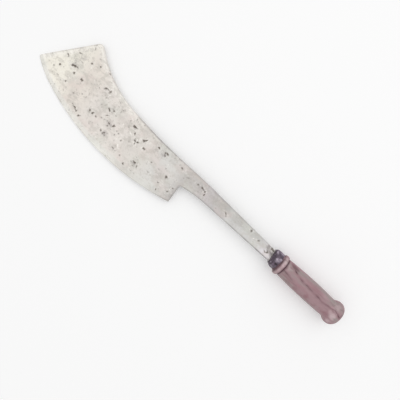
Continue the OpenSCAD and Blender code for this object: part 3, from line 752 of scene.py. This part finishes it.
bm = bmesh.new()
ring = [bm.verts.new((x * MM, 0, r * MM)) for r, x in profile]
wire = [bm.edges.new(pair) for pair in zip(ring, ring[1:] + ring[:1])]
bmesh.ops.spin(bm, geom=ring + wire, cent=(0, 0, 0), axis=(1, 0, 0), angle=2 * pi, steps=COLUMNS,
               use_merge=True)
bmesh.ops.remove_doubles(bm, verts=bm.verts, dist=MERGE_REACH)
bmesh.ops.recalc_face_normals(bm, faces=bm.faces)
wood, tree = new_material("weathered wood")
mesh = piece("handle", bm, wood)
place = mesh_array(mesh.vertices, "co")
x, radius = place[:, 0] / MM, np.hypot(place[:, 1], place[:, 2])
around = np.degrees(np.arctan2(place[:, 1], place[:, 2]))
# The wood outside: neither on the spigot nor in the bore or the washer's seat
outside = (x < 0.01) & (radius > (seat + 0.4) * MM)
waver = np.array([noise.noise(Vector((p * WAVER_CELLS, 5, 0))) for p in x]) * WAVER
ragged = 1 + CRACK_RAGGED * streaked(place, RAGGED_ALONG, RAGGED_ACROSS)
crack, sunk, grime = np.zeros((3, len(place)))
for path, width, depth in CRACKS:
    along, turns, strengths = np.array(sorted(path)).T
    off = abs((around - np.interp(x, along, turns) - waver + 180) % 360 - 180) * radians(1) * radius / MM
    strength = np.interp(x, along, strengths, 0, 0) * outside * ragged
    groove = np.clip(1 - off / width, 0, 1)
    sunk = np.maximum(sunk, depth * strength * groove**0.7)
    crack = np.maximum(crack, strength * groove)
    grime = np.maximum(grime, CRACK_DIRTY * strength * np.clip(1 - off / CRACK_DIRT, 0, 1))
swell = streaked(place, 22, 70) * SWELLING
flutes = streaked(place, 60, 500) * FLUTING
outward = place * (0, 1, 1) / np.maximum(radius, MM)[:, None]
place += outward * ((swell + flutes) * np.clip((-x - BEAD_X) / 2, 0, 1) * outside - sunk)[:, None] * MM
# Painted shade darkens the groove behind the bead and the collar's mouth, and the bead's crest is worn pale
# with a painted highlight
groove = np.clip(1.1 - abs(x + bead_end + GROOVE_W / 2) / GROOVE_SHADE_REACH, 0, 1) * (radius < (bead_in + 3.2) * MM)
mouth = np.clip(1 + (x + BEAD_X) / MOUTH_SHADE_REACH, 0, 1) * np.interp(around, *MOUTH_SHADE_STRENGTH)
crest = np.clip(1 - abs(x + BEAD_X + BEAD_L / 2 - 0.4) / CREST_REACH, 0, 1) * (radius > CREST_R * MM)
masks = {"crack": crack, "grime": np.maximum(grime, round_marks(place, DARK_STAINS_AND_SHADE) * outside),
         "red": round_marks(place, RED_STAINS) * outside, "crease_shade": np.maximum(groove, mouth) * outside,
         "pale_marks": np.maximum(CREST_PALE * crest, round_marks(place, PALE_STAINS_AND_HIGHLIGHTS)) * outside}
for name, values in masks.items():
    store_mask(mesh, name, values)
settle(mesh, carried(place, tool))

place = tool_place(tree)
greyed = patch(tree, place, 16, 75, 0.45, 0.62, 41)
colour = blend(tree, greyed, paint(172, 140, 145), paint(165, 151, 149))
pink = reckon(tree, "MULTIPLY", patch(tree, place, 22, 90, 0.54, 0.68, 43), 0.5)
colour = blend(tree, pink, colour, paint(172, 126, 134))
streaks = reckon(tree, "MULTIPLY", patch(tree, place, 14, 260, 0.5, 0.7, 45), 0.5)
colour = blend(tree, streaks, colour, paint(138, 110, 114))
grain = patch(tree, place, 45, 1100, 0.3, 0.7, 47)
colour = blend(tree, reckon(tree, "MULTIPLY", grain, 0.22), colour, paint(120, 98, 102))
blotch = patch(tree, place, 60, 200, 0.3, 0.62, 51)
# Pale wear, and painted highlights on the bead's crest and on the bulb
pale_marks = reckon(tree, "MULTIPLY", stored(tree, "pale_marks"), between(tree, blotch, 0.4, 1.0))
colour = blend(tree, reckon(tree, "MULTIPLY", pale_marks, 0.7), colour, paint(214, 190, 193))
colour = blend(tree, reckon(tree, "MULTIPLY", stored(tree, "red"), 0.6), colour, paint(138, 86, 96))
# Crack dirt, dark stains, and painted shade in the groove behind the bead
grimy = reckon(tree, "MULTIPLY", stored(tree, "grime"), between(tree, blotch, 0.45, 1.0))
colour = blend(tree, reckon(tree, "MULTIPLY", grimy, 0.75), colour, paint(104, 68, 76))
# Painted shade in the groove behind the bead and at the collar's mouth
colour = blend(tree, reckon(tree, "MULTIPLY", stored(tree, "crease_shade"), 0.8), colour, paint(84, 54, 64))
cracked = reckon(tree, "MULTIPLY", band(tree, stored(tree, "crack"), 0.2, 1.0), 0.85)
colour = blend(tree, cracked, colour, paint(78, 50, 56))
finish(tree, colour, metal=0.0, rough=between(tree, grain, 0.55, 0.75), height=grain, depth=0.2 * MM)

# Butt washer: a round iron washer let into the crown of the butt, under the peened end of the tang.
# It is dark and lightly rusted.
WASHER_WEAR = 0.25 * MM
bm = forged_copy("butt_washer", WASHER_WEAR, least_angle=40)
arris_mask(bm)
rusty_iron = dark_iron("rusty iron", dull=(66, 52, 48), warm=(104, 80, 70), bright=(150, 142, 138), wear=0.6)
piece("butt_washer", bm, rusty_iron)
